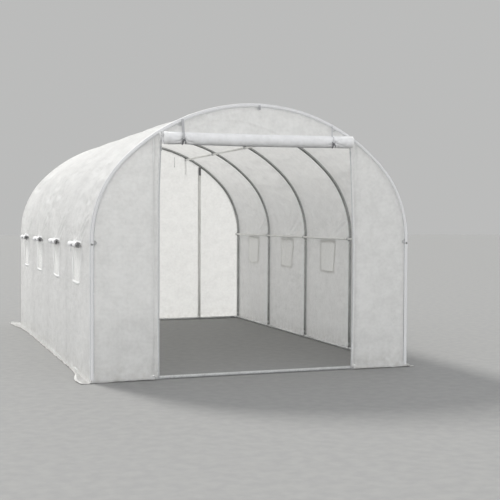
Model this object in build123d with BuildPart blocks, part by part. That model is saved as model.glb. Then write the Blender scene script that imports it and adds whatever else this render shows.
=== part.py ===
from build123d import *
import math
import os

# A walk-in polytunnel: five bent tube hoops on a plugged base frame, five long rails held under
# the hoops by saddle clips, and a film cover with zipped gables, netted windows and a ground skirt.
# X runs across the tunnel, Y from the open front gable to the rear, Z up from the ground.

os.makedirs("parts", exist_ok=True)

# Overall size
width = 2500.0             # across the outside of the cover
height = 2000.0            # ground to the top of the cover
length = 4000.0            # over the outside of both gable sheets
bays = 4                   # spaces between hoops
arch_rise = 1000.0         # from where the hoops start to bend up to the top of the cover
shoulder_bend = 44.5       # degrees that a shoulder turns before the flatter crown begins
crown_strips = 3           # strips that the cover's crown is drawn in

# Tubes, all drawn with eight flats, measured across the flats
tube_sides = 8
hoop_tube = 25.0           # hoops, base fittings and ground rails
rail_tube = 19.0           # ridge pole, purlins and side rails
post_tube = 22.0           # door posts
spigot_tube = 20.0         # reduced end that plugs into the next tube
spigot_length = 45.0
hoop_joint_drop = 60.0     # straight end of the bent tube, below the bend
fitting_arm = 50.0         # from a base fitting's centre to the tube that plugs on it
seat = 0.3                 # clearance between pieces that seat on each other

# Saddle clips
clip_wall = 2.5
clip_ear = 8.0             # how far an ear reaches past the saddle
clip_length = 24.0         # along the rail

# Rails under the crown
purlin_offset = 602.0      # from the tunnel's middle plane to a purlin's axis

# Cover and skirt
cover_thickness = 2.0
skirt_width = 40.0
skirt_corner = 25.0        # rounded corner of the front skirts beside the doorway

# Doorway
door_width = 1510.0
door_head_drop = 310.0     # top of the cover down to the top of the doorway
front_post_setback = 28.0  # from the front doorway's edge to the post behind the gable sheet

# Rolled-up front door
door_roll = 88.0           # diameter
door_roll_overhang = 20.0  # how far the roll stops short of the doorway's edge
door_pinch = 72.0          # diameter under a tie
door_pinch_length = 90.0
door_tie_offset = 590.0    # from the middle plane to a tie
tie_width = 18.0
tie_thickness = 2.0
rear_tie_length = 190.0

# Windows, one to a bay on each side
window_width = 300.0
window_height = 260.0
window_drop = 60.0         # start of the bend down to a window's top edge
net_hem = 20.0             # how far the net laps the cover behind the window
net_thickness = 1.5
window_roll = 46.0         # diameter of the rolled-up flap
window_roll_length = 330.0
window_pinch = 32.0
window_pinch_length = 60.0
window_roll_rise = 18.0    # roll's axis above the window's top edge
roll_sides = 8             # flats round a roll and round the loops that tie it

# Worked out from the sizes above
half_width = width / 2
half_length = length / 2
leg_height = height - arch_rise
bend_turn = math.radians(shoulder_bend)
bend_ratio = (1 - math.sin(bend_turn)) / math.cos(bend_turn)
shoulder_radius = (arch_rise - bend_ratio * half_width) / (1 - bend_ratio)
crown_radius = arch_rise + (half_width - shoulder_radius) * math.tan(bend_turn)
shoulder_x = half_width - shoulder_radius
crown_z = height - crown_radius
hoop_outer = cover_thickness + seat             # depth of the hoops' outer flat under the cover's face
hoop_centre = hoop_outer + hoop_tube / 2
hoop_inner = hoop_outer + hoop_tube
first_hoop = -half_length + hoop_centre
hoop_spacing = -2 * first_hoop / bays
hoop_stations = [first_hoop + hoop_spacing * i for i in range(bays + 1)]
window_stations = [first_hoop + hoop_spacing * (i + 0.5) for i in range(bays)]
leg_x = half_width - hoop_centre
base_z = hoop_tube / 2
leg_foot = base_z + fitting_arm
cover_foot = cover_thickness + seat             # the cover's lower edge stands on the skirt
gable_edge = cover_thickness + seat             # gable sheets end this deep under the roof's face
hoop_joint_height = leg_height - hoop_joint_drop
saddle_inner = rail_tube / 2 + seat
saddle_outer = saddle_inner + clip_wall
rail_axis_depth = seat + rail_tube / 2          # from a hoop's inner flat to a rail's axis
side_rail_height = leg_height - saddle_outer - clip_ear
door_height = height - door_head_drop
window_sill = leg_height - window_drop - window_height
window_roll_x = half_width + seat + window_roll / 2
window_roll_z = window_sill + window_height + window_roll_rise
door_roll_y = -half_length - seat - door_roll / 2
door_roll_z = door_height + door_roll / 2
door_roll_half = door_width / 2 - door_roll_overhang


def save(part, name):
    """Label a finished piece and write it."""
    part.label = name
    export_step(part, f"parts/{name}.step")


def at_y(y):
    """A plane across the tunnel at y, drawn in X and Z."""
    return Plane.XZ.offset(-y)


def at_x(x):
    """A plane along the tunnel at x, drawn in Y and Z."""
    return Plane.YZ.offset(x)


def tube_section(across):
    """A tube's outline with flats towards both axes of its plane."""
    RegularPolygon(across / 2, tube_sides, major_radius=False, rotation=180 / tube_sides)


def tube_run(plane, across, run, mode=Mode.ADD):
    """A straight tube or bore that starts on a plane and runs along its normal."""
    with BuildSketch(plane) as outline:
        tube_section(across)
    extrude(outline.sketch, amount=run, mode=mode)


def socket(plane):
    """The bore that takes the next tube's spigot, cut along the plane's normal."""
    tube_run(plane, spigot_tube + 2 * seat, spigot_length + seat, Mode.SUBTRACT)


def spigot(plane):
    """The reduced end that plugs into the next tube."""
    tube_run(plane, spigot_tube, spigot_length)


def arch_region(depth, bottom):
    """The area under the arch, a given depth inside the cover's outer face."""
    with BuildLine() as outline:
        right = CenterArc((shoulder_x, leg_height), shoulder_radius - depth, 0, shoulder_bend)
        CenterArc((0, crown_z), crown_radius - depth, shoulder_bend, 180 - 2 * shoulder_bend)
        left = CenterArc((-shoulder_x, leg_height), shoulder_radius - depth, 180 - shoulder_bend, shoulder_bend)
        Polyline(left @ 1, (-half_width + depth, bottom), (half_width - depth, bottom), right @ 0)
    make_face(outline.edges())


def crown_station(y, angle, depth):
    """A plane across the crown, its Y axis pointing out of the tunnel at an angle from upright."""
    sine = math.sin(math.radians(angle))
    cosine = math.cos(math.radians(angle))
    reach = crown_radius - depth
    return Plane(
        origin=(reach * sine, y, crown_z + reach * cosine),
        x_dir=(cosine, 0, -sine),
        z_dir=(0, -1, 0),
    )


def side_station(y, depth):
    """A plane across the right-hand side, where the side rail runs just below the bends."""
    return Plane(origin=(half_width - depth, y, side_rail_height), x_dir=(0, 0, -1), z_dir=(0, -1, 0))


def hoop_leg(y):
    """The right-hand leg, with a socket at each end."""
    foot = Plane(origin=(leg_x, y, leg_foot))
    top = Plane(origin=(leg_x, y, hoop_joint_height), z_dir=(0, 0, -1))
    with BuildPart() as leg:
        tube_run(foot, hoop_tube, hoop_joint_height - leg_foot)
        socket(foot)
        socket(top)
    return leg.part


def hoop_bend(y):
    """The right-hand half of the arch, from the leg's joint to just short of the apex."""
    start = Plane(origin=(leg_x, y, hoop_joint_height + seat))
    below = Plane(origin=start.origin, z_dir=(0, 0, -1))
    reach = crown_radius - hoop_centre
    apex_gap = math.degrees(seat / 2 / reach)
    sine = math.sin(bend_turn)
    cosine = math.cos(bend_turn)
    crown_start = Plane(
        origin=(reach * cosine, y, crown_z + reach * sine),
        x_dir=(cosine, 0, sine),
        z_dir=(-sine, 0, cosine),
    )
    with BuildPart() as bend:
        tube_run(start, hoop_tube, leg_height - hoop_joint_height - seat)
        spigot(below)
        with BuildSketch(Plane(origin=(leg_x, y, leg_height))) as shoulder:
            tube_section(hoop_tube)
        revolve(axis=Axis((shoulder_x, y, leg_height), (0, -1, 0)), revolution_arc=shoulder_bend)
        with BuildSketch(crown_start) as crown:
            tube_section(hoop_tube)
        revolve(axis=Axis((0, y, crown_z), (0, -1, 0)), revolution_arc=90 - shoulder_bend - apex_gap)
    return bend.part


def hoop(number, y):
    """One hoop: two legs and two bends, with the joint at the apex plugged from the left."""
    apex_z = height - hoop_centre
    right_leg = hoop_leg(y)
    right_bend = hoop_bend(y)
    with BuildPart() as socketed:
        add(right_bend)
        socket(Plane(origin=(0, y, apex_z), x_dir=(0, 1, 0), z_dir=(1, 0, 0)))
    with BuildPart() as plugged:
        add(mirror(right_bend, about=Plane.YZ, mode=Mode.PRIVATE))
        spigot(Plane(origin=(-seat / 2, y, apex_z), x_dir=(0, 1, 0), z_dir=(1, 0, 0)))
    with BuildPart() as tubes:
        add(right_leg)
        add(mirror(right_leg, about=Plane.YZ, mode=Mode.PRIVATE))
        add(socketed.part)
        add(plugged.part)
    save(tubes.part, f"hoop_{number}")


def clip(station):
    """A two-eared saddle with straight sides that holds a rail against the hoop's inner flat."""
    with BuildSketch(station) as outline:
        with Locations((0, -rail_axis_depth)):
            RegularPolygon(saddle_outer, tube_sides, major_radius=False, rotation=180 / tube_sides)
        with Locations((0, -(seat + rail_axis_depth) / 2)):
            Rectangle(2 * saddle_outer, rail_axis_depth - seat)
        with Locations((0, -seat - clip_wall / 2)):
            Rectangle(2 * (saddle_outer + clip_ear), clip_wall)
        with Locations((0, -rail_axis_depth)):
            RegularPolygon(saddle_inner, tube_sides, major_radius=False, rotation=180 / tube_sides,
                           mode=Mode.SUBTRACT)
        with Locations((0, -rail_axis_depth / 2)):
            Rectangle(2 * saddle_inner, rail_axis_depth, mode=Mode.SUBTRACT)
        with Locations((0, saddle_outer - seat)):
            Rectangle(2 * saddle_outer, 2 * saddle_outer, mode=Mode.SUBTRACT)
    extrude(outline.sketch, amount=clip_length / 2, both=True)


def rail(station, name, mirrored_name=None):
    """A rail along the tunnel, from the outer edge of the first clip to that of the last."""
    with BuildPart() as bar:
        with BuildSketch(station):
            with Locations((0, -rail_axis_depth)):
                tube_section(rail_tube)
        extrude(amount=clip_length - 2 * first_hoop)
    save(bar.part, name)
    if mirrored_name:
        save(mirror(bar.part, about=Plane.YZ), mirrored_name)


def base_fitting(y, forward, backward, corner):
    """A right-hand welded base connector with a plug for each tube that meets there."""
    centre = (leg_x, y, base_z)
    directions = [((0, 0, 1), (1, 0, 0))]
    if forward:
        directions.append(((0, -1, 0), (1, 0, 0)))
    if backward:
        directions.append(((0, 1, 0), (1, 0, 0)))
    if corner:
        directions.append(((-1, 0, 0), (0, 1, 0)))
    with BuildPart() as fitting:
        for direction, across in directions:
            start = Plane(origin=centre, x_dir=across, z_dir=direction)
            tube_run(start, hoop_tube, fitting_arm - seat)
            spigot(start.offset(fitting_arm - seat))
        tube_run(Plane(origin=centre, z_dir=(0, 0, -1)), hoop_tube, base_z)
    return fitting.part


def plugged_rail(start, run):
    """A ground rail with a socket at each end."""
    far = Plane(origin=start.origin + start.z_dir * run, x_dir=start.x_dir, z_dir=-start.z_dir)
    tube_run(start, hoop_tube, run)
    socket(start)
    socket(far)


def roof_strip(name, centre, radius, start_angle, angle):
    """One curved strip of the cover, the whole length of the tunnel."""
    with BuildPart() as strip:
        with BuildSketch(at_y(-half_length)):
            with BuildLine():
                outer = CenterArc(centre, radius, start_angle, angle)
                inner = CenterArc(centre, radius - cover_thickness, start_angle, angle)
                Line(outer @ 0, inner @ 0)
                Line(outer @ 1, inner @ 1)
            make_face()
        extrude(amount=-length)
    save(strip.part, name)


def side_wall(name, side):
    """The straight lower part of the cover's side, with a window cut in each bay."""
    with BuildPart() as wall:
        with BuildSketch(at_x(side * half_width)):
            with Locations((0, (cover_foot + leg_height) / 2)):
                Rectangle(length, leg_height - cover_foot)
            with Locations(*[(y, window_sill + window_height / 2) for y in window_stations]):
                Rectangle(window_width, window_height, mode=Mode.SUBTRACT)
        extrude(amount=-side * cover_thickness)
    save(wall.part, name)


def gable_sheet(name, y, x_range, z_range):
    """A flat piece of a gable, cut from the area under the arch, its front face at y."""
    low_x, high_x = x_range
    low_z, high_z = z_range
    with BuildPart() as sheet:
        with BuildSketch(at_y(y)):
            arch_region(gable_edge, cover_foot)
            with Locations(((low_x + high_x) / 2, (low_z + high_z) / 2)):
                Rectangle(high_x - low_x, high_z - low_z, mode=Mode.INTERSECT)
        extrude(amount=-cover_thickness)
    save(sheet.part, name)


def door_posts(name, y, setback):
    """Two posts from the ground rail up to the underside of the hoop, a setback beside the doorway."""
    post_x = door_width / 2 + setback + post_tube / 2
    with BuildPart() as posts:
        with BuildSketch(Plane.XY.offset(hoop_tube + seat)):
            with Locations((-post_x, y), (post_x, y)):
                tube_section(post_tube)
        extrude(amount=height)
        with BuildSketch(at_y(y)):
            arch_region(hoop_inner + seat, 0)
        extrude(amount=post_tube, both=True, mode=Mode.INTERSECT)
    save(posts.part, name)


def pinched_roll(start, run, across, waist, waist_length, ties):
    """A rolled-up flap along a plane's normal: what its drawn-in profile has in common from all sides."""
    upper = [(0, across / 2)]
    for place in ties:
        upper += [(place - waist_length / 2, across / 2), (place, waist / 2)]
        upper.append((place + waist_length / 2, across / 2))
    upper.append((run, across / 2))
    lower = [(along, -reach) for along, reach in reversed(upper)]
    with BuildPart(mode=Mode.PRIVATE) as roll:
        for i in range(roll_sides // 2):
            turn = 2 * math.pi * i / roll_sides
            outward = start.x_dir * math.cos(turn) + start.y_dir * math.sin(turn)
            with BuildSketch(Plane(origin=start.origin, x_dir=start.z_dir, z_dir=outward)) as outline:
                with BuildLine() as profile:
                    Polyline(*upper, *lower, close=True)
                make_face(profile.edges())
            extrude(outline.sketch, amount=across, both=True, mode=Mode.INTERSECT if i else Mode.ADD)
    return roll.part


def front_door_roll():
    """The front door, rolled up over the doorway and drawn in by two ties."""
    start = Plane(origin=(-door_roll_half, door_roll_y, door_roll_z), x_dir=(0, 1, 0), z_dir=(1, 0, 0))
    ties = (door_roll_half - door_tie_offset, door_roll_half + door_tie_offset)
    roll = pinched_roll(start, 2 * door_roll_half, door_roll, door_pinch, door_pinch_length, ties)
    save(roll, "front_door_roll")


def front_door_ties():
    """Two straps sewn in at the hoop, each with its loop round the roll."""
    loop_inner = door_pinch / 2 + seat + tie_thickness
    loop_outer = loop_inner + tie_thickness
    strap_top = crown_z + math.sqrt((crown_radius - hoop_centre)**2 - door_tie_offset**2)
    strap_y = -half_length - seat - tie_thickness / 2
    with BuildPart() as ties:
        for x in (-door_tie_offset, door_tie_offset):
            with BuildSketch(at_x(x)):
                with Locations((door_roll_y, door_roll_z)):
                    RegularPolygon(loop_outer, roll_sides, major_radius=False, rotation=180 / roll_sides)
                    RegularPolygon(loop_inner, roll_sides, major_radius=False, rotation=180 / roll_sides,
                                   mode=Mode.SUBTRACT)
            extrude(amount=tie_width / 2, both=True)
            with Locations((x, strap_y, (strap_top + door_roll_z) / 2)):
                Box(tie_width, tie_thickness, strap_top - door_roll_z)
    save(ties.part, "front_door_ties")


def rear_door_ties():
    """Two straps that hang loose over the closed rear door."""
    strap_top = crown_z + math.sqrt((crown_radius - hoop_centre)**2 - door_tie_offset**2)
    strap_y = half_length + seat + tie_thickness / 2
    with BuildPart() as ties:
        with Locations((-door_tie_offset, strap_y, strap_top - rear_tie_length / 2),
                       (door_tie_offset, strap_y, strap_top - rear_tie_length / 2)):
            Box(tie_width, tie_thickness, rear_tie_length)
    save(ties.part, "rear_door_ties")


def window_nets(name, side):
    """A net behind each window of one side."""
    with BuildPart() as nets:
        with BuildSketch(at_x(side * (half_width - cover_thickness - seat))):
            with Locations(*[(y, window_sill + window_height / 2) for y in window_stations]):
                Rectangle(window_width + 2 * net_hem, window_height + 2 * net_hem)
        extrude(amount=-side * net_thickness)
    save(nets.part, name)


def window_rolls(name, side):
    """The rolled-up flap over each window of one side."""
    with BuildPart() as rolls:
        for y in window_stations:
            end = (side * window_roll_x, y - window_roll_length / 2, window_roll_z)
            start = Plane(origin=end, x_dir=(1, 0, 0), z_dir=(0, 1, 0))
            add(pinched_roll(start, window_roll_length, window_roll, window_pinch, window_pinch_length,
                             (window_roll_length / 2,)))
    save(rolls.part, name)


def side_skirt(name, side):
    """The strip of cover that lies on the ground along one side, past both gables."""
    inner = half_width - cover_thickness
    outer = half_width + skirt_width
    with BuildPart() as skirt:
        with BuildSketch():
            with Locations((side * (inner + outer) / 2, 0)):
                Rectangle(outer - inner, length + 2 * skirt_width)
        extrude(amount=cover_thickness)
    save(skirt.part, name)


def gable_skirts():
    """The strips on the ground before and behind, with the doorway left free in front."""
    inner = half_length - cover_thickness
    outer = half_length + skirt_width
    side_edge = half_width - cover_thickness - seat
    middle = (door_width / 2 + side_edge) / 2
    with BuildPart() as skirts:
        with BuildSketch():
            with Locations((0, (inner + outer) / 2)):
                Rectangle(2 * side_edge, outer - inner)
            with Locations((-middle, -(inner + outer) / 2), (middle, -(inner + outer) / 2)):
                Rectangle(side_edge - door_width / 2, outer - inner)
        extrude(amount=cover_thickness)
        front_edges = skirts.edges().filter_by(Axis.Z).group_by(Axis.Y)[0].sort_by(Axis.X)
        fillet(front_edges[1:3], skirt_corner)
    save(skirts.part, "gable_skirts")


# Hoops
for number, y in enumerate(hoop_stations, start=1):
    hoop(number, y)

# Rails, drawn from the rear edge of the last clip towards the front
rear_edge = -first_hoop + clip_length / 2
purlin_angle = math.degrees(math.asin(purlin_offset / (crown_radius - hoop_inner - rail_axis_depth)))
rail(crown_station(rear_edge, 0, hoop_inner), "ridge_pole")
rail(crown_station(rear_edge, purlin_angle, hoop_inner), "right_purlin", "left_purlin")
rail(side_station(rear_edge, hoop_inner), "right_side_rail", "left_side_rail")

# Clips where the rails cross the hoops
with BuildPart() as ridge_clips:
    for y in hoop_stations:
        clip(crown_station(y, 0, hoop_inner))
save(ridge_clips.part, "ridge_clips")
with BuildPart() as right_clips:
    for y in hoop_stations:
        clip(crown_station(y, purlin_angle, hoop_inner))
        clip(side_station(y, hoop_inner))
save(right_clips.part, "right_clips")
save(mirror(right_clips.part, about=Plane.YZ), "left_clips")

# Base frame
with BuildPart() as right_fittings:
    for y in hoop_stations:
        first = y == hoop_stations[0]
        last = y == hoop_stations[-1]
        add(base_fitting(y, not first, not last, first or last))
save(right_fittings.part, "right_base_fittings")
save(mirror(right_fittings.part, about=Plane.YZ), "left_base_fittings")

with BuildPart() as right_ground:
    for y in hoop_stations[:-1]:
        start = Plane(origin=(leg_x, y + fitting_arm, base_z), x_dir=(1, 0, 0), z_dir=(0, 1, 0))
        plugged_rail(start, hoop_spacing - 2 * fitting_arm)
save(right_ground.part, "right_ground_rail")
save(mirror(right_ground.part, about=Plane.YZ), "left_ground_rail")

for name, y in (("front_ground_rail", hoop_stations[0]), ("rear_ground_rail", hoop_stations[-1])):
    with BuildPart() as cross_rail:
        start = Plane(origin=(-leg_x + fitting_arm, y, base_z), x_dir=(0, 1, 0), z_dir=(1, 0, 0))
        plugged_rail(start, 2 * (leg_x - fitting_arm))
    save(cross_rail.part, name)

door_posts("front_door_posts", hoop_stations[0], front_post_setback)
door_posts("rear_door_posts", hoop_stations[-1], 0)

# Cover
strip_angle = (180 - 2 * shoulder_bend) / crown_strips
crown_names = ["roof_right", "roof_top", "roof_left"]
for i, name in enumerate(crown_names):
    roof_strip(name, (0, crown_z), crown_radius, shoulder_bend + i * strip_angle, strip_angle)
roof_strip("right_shoulder", (shoulder_x, leg_height), shoulder_radius, 0, shoulder_bend)
roof_strip("left_shoulder", (-shoulder_x, leg_height), shoulder_radius, 180 - shoulder_bend, shoulder_bend)
side_wall("left_wall", -1)
side_wall("right_wall", 1)

door_edge = door_width / 2
for end, y in (("front", -half_length), ("rear", half_length - cover_thickness)):
    gable_sheet(f"{end}_left_panel", y, (-half_width, -door_edge), (0, height))
    gable_sheet(f"{end}_right_panel", y, (door_edge, half_width), (0, height))
    gable_sheet(f"{end}_top_panel", y, (-door_edge + seat, door_edge - seat), (door_height, height))
gable_sheet("rear_door", half_length - cover_thickness, (-door_edge + seat, door_edge - seat),
            (0, door_height - seat))

front_door_roll()
front_door_ties()
rear_door_ties()
for side, word in ((-1, "left"), (1, "right")):
    window_nets(f"{word}_window_nets", side)
    window_rolls(f"{word}_window_rolls", side)
    side_skirt(f"{word}_skirt", side)
gable_skirts()
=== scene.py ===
import math
import bpy
import numpy as np
from mathutils import Matrix, Vector


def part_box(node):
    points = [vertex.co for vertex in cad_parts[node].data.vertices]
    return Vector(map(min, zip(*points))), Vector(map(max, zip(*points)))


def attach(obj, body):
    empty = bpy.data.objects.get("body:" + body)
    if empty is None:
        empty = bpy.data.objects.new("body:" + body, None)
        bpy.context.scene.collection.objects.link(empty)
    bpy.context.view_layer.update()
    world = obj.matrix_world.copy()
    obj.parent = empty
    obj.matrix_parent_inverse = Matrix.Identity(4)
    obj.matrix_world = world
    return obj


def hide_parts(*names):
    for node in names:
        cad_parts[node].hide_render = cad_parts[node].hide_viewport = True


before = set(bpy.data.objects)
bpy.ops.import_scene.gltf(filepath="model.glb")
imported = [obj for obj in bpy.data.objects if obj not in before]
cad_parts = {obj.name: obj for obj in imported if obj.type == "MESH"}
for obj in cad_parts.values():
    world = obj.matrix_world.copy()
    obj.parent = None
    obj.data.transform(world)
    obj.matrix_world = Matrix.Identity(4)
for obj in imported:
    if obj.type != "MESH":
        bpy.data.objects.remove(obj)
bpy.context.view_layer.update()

# Places that the frame gives, in metres. X runs across the tunnel, Y to the rear, Z up.
HALF_WIDTH, HALF_LENGTH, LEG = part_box("right_wall")[1]
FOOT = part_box("right_wall")[0].z
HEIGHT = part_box("roof_top")[1].z
HOOPS = [sum(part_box(f"hoop_{i}")[k].y for k in (0, 1)) / 2 for i in range(1, 6)]
BAY = HOOPS[1] - HOOPS[0]
DOOR_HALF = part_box("front_right_panel")[0].x
DOOR_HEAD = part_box("front_top_panel")[0].z
SKIRT_X, SKIRT_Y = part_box("right_skirt")[1].xy
SIDES = ((-1, "left"), (1, "right"))
TURN = 2 * math.pi

# The arch, drawn as the hoops are: a leg, a shoulder and one half of the flatter crown on each side
SHOULDER_BEND = math.radians(44.5)
RISE = HEIGHT - LEG
BEND_RATIO = (1 - math.sin(SHOULDER_BEND)) / math.cos(SHOULDER_BEND)
SHOULDER_R = (RISE - BEND_RATIO * HALF_WIDTH) / (1 - BEND_RATIO)
CROWN_R = RISE + (HALF_WIDTH - SHOULDER_R) * math.tan(SHOULDER_BEND)
SHOULDER_X = HALF_WIDTH - SHOULDER_R
CROWN_Z = HEIGHT - CROWN_R
SHOULDER_END = LEG + SHOULDER_R * SHOULDER_BEND
ARCH = 2 * (SHOULDER_END + CROWN_R * (math.pi / 2 - SHOULDER_BEND))

# Tubes
HOOP_R = 0.0125
RAIL_R = 0.0095
POST_R = 0.011
NECK_R = 0.0109             # swaged end that shows in a hoop's joint
NECK = 0.0045               # how long it shows
RAIL_NECK_R = RAIL_R - 0.0013  # swaged end that shows in a rail's joint
RAIL_JOINT = 0.06           # from a hoop to the rail's joint behind it
HOOP_DEPTH = 0.0148         # cover's outer face to a hoop's axis
LEG_X = HALF_WIDTH - HOOP_DEPTH
JOINT_Z = 0.94              # where the bent tube plugs into the leg
FITTING_ARM = 0.05          # from a foot's middle to the end of each of its sockets
SCREW = 0.0036              # radius of a screw's head
SCREW_DROP = 0.022          # from a joint to its screws

# Windows and their rolled flaps
WINDOW_HALF = 0.15
WINDOW_TOP = 0.94
WINDOW_SILL = 0.68
WINDOWS = [(a + b) / 2 for a, b in zip(HOOPS, HOOPS[1:])]
FLAP_HALF = (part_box("left_window_rolls")[1].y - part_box("left_window_rolls")[0].y - 3 * BAY) / 2
FLAP_FILM = 0.335           # length of a flap's rolled-up film
NET_HEM = 0.02              # how far a net reaches past its window
HEM_BAND = 0.026            # width of the bands at a window's sides

# Film
ROOF_SAG = 0.018            # in the middle of a bay
WALL_SAG = 0.005
SLEEVE_R = 0.0152           # film round an end hoop, from its axis
GABLE_FACE = HALF_LENGTH - 0.0035

# The door's roll
ROLL_FALL = 0.012           # how much lower it hangs at its left end
ROLL_SAG = 0.004
ROLL_FLAT = 0.035           # share of its radius that its front loses
DOOR_FILM = 1.66            # length of the rolled-up film
DOOR_TIE = 0.59             # places of its two straps, from the middle
DOOR_PINCH = (0.036, 0.075)  # length and depth of the waist that a strap draws in
STRAP_SPAN = 1.58           # length over which its straps share in that fall


def smooth(value):
    """0 below 0, 1 above 1, and an even curve between."""
    value = np.clip(value, 0, 1)
    return value * value * (3 - 2 * value)


def bell(value):
    """1 at 0, and near 0 beyond -2 and 2."""
    return np.exp(-value**2)


def noise(u, v, seed):
    """Smooth noise from -1 to 1 with one knot to a unit of u and v."""
    table = np.random.default_rng(seed).uniform(-1, 1, (64, 64))
    u, v = np.broadcast_arrays(np.asarray(u, float), np.asarray(v, float))
    low_u, low_v = np.floor(u).astype(int), np.floor(v).astype(int)
    share_u, share_v = smooth(u - low_u), smooth(v - low_v)
    near, far = (table[(low_u + i) % 64, low_v % 64] * (1 - share_v)
                 + table[(low_u + i) % 64, (low_v + 1) % 64] * share_v for i in (0, 1))
    return near * (1 - share_u) + far * share_u


def stack(*values):
    """Points from their coordinates, each of them a number or an array."""
    return np.stack(np.broadcast_arrays(*values), -1)


def grid_of(first, second):
    return np.meshgrid(first, second, indexing="ij")


def travelled(path):
    """Metres along a path at each of its points."""
    return np.concatenate([[0], np.cumsum(np.linalg.norm(np.diff(path, axis=0), axis=1))])


def stations(stops, steps):
    """Values from the first stop to the last, through each one, about a step apart."""
    values = [stops[0]]
    for low, high, step in zip(stops, stops[1:], steps):
        count = max(1, math.ceil((high - low) / step - 1e-6))
        values += [low + (high - low) * (i + 1) / count for i in range(count)]
    return np.array(values)


def arch_points(along, depth=0.0):
    """Points (x, z) and outward directions on the arch, metres along it from the left foot."""
    reach = np.minimum(along, ARCH - along)
    side = np.where(along > ARCH / 2, 1.0, -1.0)
    crown = reach > SHOULDER_END
    turn = np.where(crown, SHOULDER_BEND + np.maximum(reach - SHOULDER_END, 0) / CROWN_R,
                    np.clip((reach - LEG) / SHOULDER_R, 0, SHOULDER_BEND))
    radius = np.where(crown, CROWN_R, SHOULDER_R) - depth
    x = side * (np.where(crown, 0, SHOULDER_X) + radius * np.cos(turn))
    z = np.where(crown, CROWN_Z, np.minimum(reach, LEG)) + radius * np.sin(turn)
    return x, z, side * np.cos(turn), np.sin(turn)


def grid_faces(rows, columns, closed=False, keep=None):
    """Four-sided faces of a grid of points, closed on itself across the columns or not."""
    i, j = grid_of(np.arange(rows - 1), np.arange(columns if closed else columns - 1))
    after = (j + 1) % columns
    faces = stack(i * columns + j, i * columns + after, (i + 1) * columns + after, (i + 1) * columns + j)
    return faces.reshape(-1, 4) if keep is None else faces[keep]


def tube_faces(rings, sides, capped=True):
    """Faces of a tube of rings, with its two ends or without."""
    ends = [list(range(sides))[::-1], [(rings - 1) * sides + k for k in range(sides)]]
    return grid_faces(rings, sides, closed=True).tolist() + ends * capped


def stand(name, data):
    """An object that holds this data, in the scene."""
    item = bpy.data.objects.new(name, data)
    bpy.context.scene.collection.objects.link(item)
    return item


class Heap:
    """Points, faces and flat coordinates gathered for one piece."""

    def __init__(self):
        self.points, self.faces, self.flat, self.count = [], [], [], 0

    def add(self, points, faces, flat=None):
        points = np.asarray(points, float).reshape(-1, 3)
        self.faces += [[int(i) + self.count for i in face] for face in faces]
        self.points.append(points)
        self.flat.append(points[:, :2] if flat is None else np.asarray(flat, float).reshape(-1, 2))
        self.count += len(points)
        return self

    def grid(self, points, u, v, keep=None):
        """A sheet of four-sided faces, with its flat coordinates."""
        return self.add(points, grid_faces(*points.shape[:2], keep=keep), stack(u, v))

    def piece(self, name, material, slot, *nodes):
        """The piece, on the part's one body, with the frame's nodes that it replaces. Small fittings are faceted."""
        points, flat = np.concatenate(self.points), np.concatenate(self.flat)
        used = sorted({i for face in self.faces for i in face})
        place = {old: new for new, old in enumerate(used)}
        mesh = bpy.data.meshes.new(name)
        mesh.from_pydata(points[used].tolist(), [], [[place[i] for i in face] for face in self.faces])
        layer = mesh.uv_layers.new(name="flat")
        corner = np.zeros(len(mesh.loops), np.int32)
        mesh.loops.foreach_get("vertex_index", corner)
        layer.data.foreach_set("uv", flat[used][corner].astype(np.float32).ravel())
        mesh.polygons.foreach_set("use_smooth", [slot != "clip_steel"] * len(mesh.polygons))
        mesh.materials.append(material)
        mesh.update()
        piece = stand(name, mesh)
        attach(piece, "root")
        if nodes:
            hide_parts(*nodes)
        return piece


def sweep(heap, path, radii, sides=16, start_up=(0, 0, 1), squash=1.0, capped=True):
    """A round or flattened tube along a path, with a radius for each of its points."""
    path = np.asarray(path, float)
    radii = np.broadcast_to(np.asarray(radii, float), len(path))
    tangent = np.gradient(path, axis=0)
    tangent /= np.linalg.norm(tangent, axis=1)[:, None]
    up = np.asarray(start_up, float)
    turn = np.arange(sides) * TURN / sides
    rings = []
    for point, forward, radius in zip(path, tangent, radii):
        up = up - forward * (up @ forward)
        up = up / np.linalg.norm(up)
        across = np.cross(forward, up)
        rings.append(point + radius * (np.cos(turn)[:, None] * across + squash * np.sin(turn)[:, None] * up))
    flat = stack(*grid_of(travelled(path), turn * radii.max()))
    return heap.add(np.concatenate(rings), tube_faces(len(path), sides, capped), flat)


def lathe(heap, centre, axis, profile, sides=16):
    """A turned shape: profile holds a radius and a height along the axis for each ring."""
    axis = Vector(axis).normalized()
    across = axis.orthogonal().normalized()
    turn = (np.arange(sides) * TURN / sides)[:, None]
    ring = np.cos(turn) * np.array(across) + np.sin(turn) * np.array(axis.cross(across))
    points = [np.array(centre) + radius * ring + height * np.array(axis) for radius, height in profile]
    return heap.add(np.concatenate(points), tube_faces(len(profile), sides))


def bolt(heap, centre, axis):
    """A hexagon head on a round washer."""
    lathe(heap, centre, axis, [(SCREW * 1.45, 0), (SCREW * 1.45, SCREW * 0.22)])
    lathe(heap, centre, axis, [(SCREW, SCREW * 0.2), (SCREW, SCREW * 0.8), (SCREW * 0.82, SCREW * 0.95)], 6)


def blocks(heap, centres, half):
    """Small box-shaped pieces with one size."""
    signs = np.array([(i, j, k) for i in (-1, 1) for j in (-1, 1) for k in (-1, 1)], float)
    faces = np.array([(0, 1, 3, 2), (4, 6, 7, 5), (0, 4, 5, 1), (2, 3, 7, 6), (0, 2, 6, 4), (1, 5, 7, 3)])
    corners = signs * np.array(half) + np.asarray(centres, float)[:, None, :]
    every = faces[None] + 8 * np.arange(len(corners))[:, None, None]
    return heap.add(corners, every.reshape(-1, 4))


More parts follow.
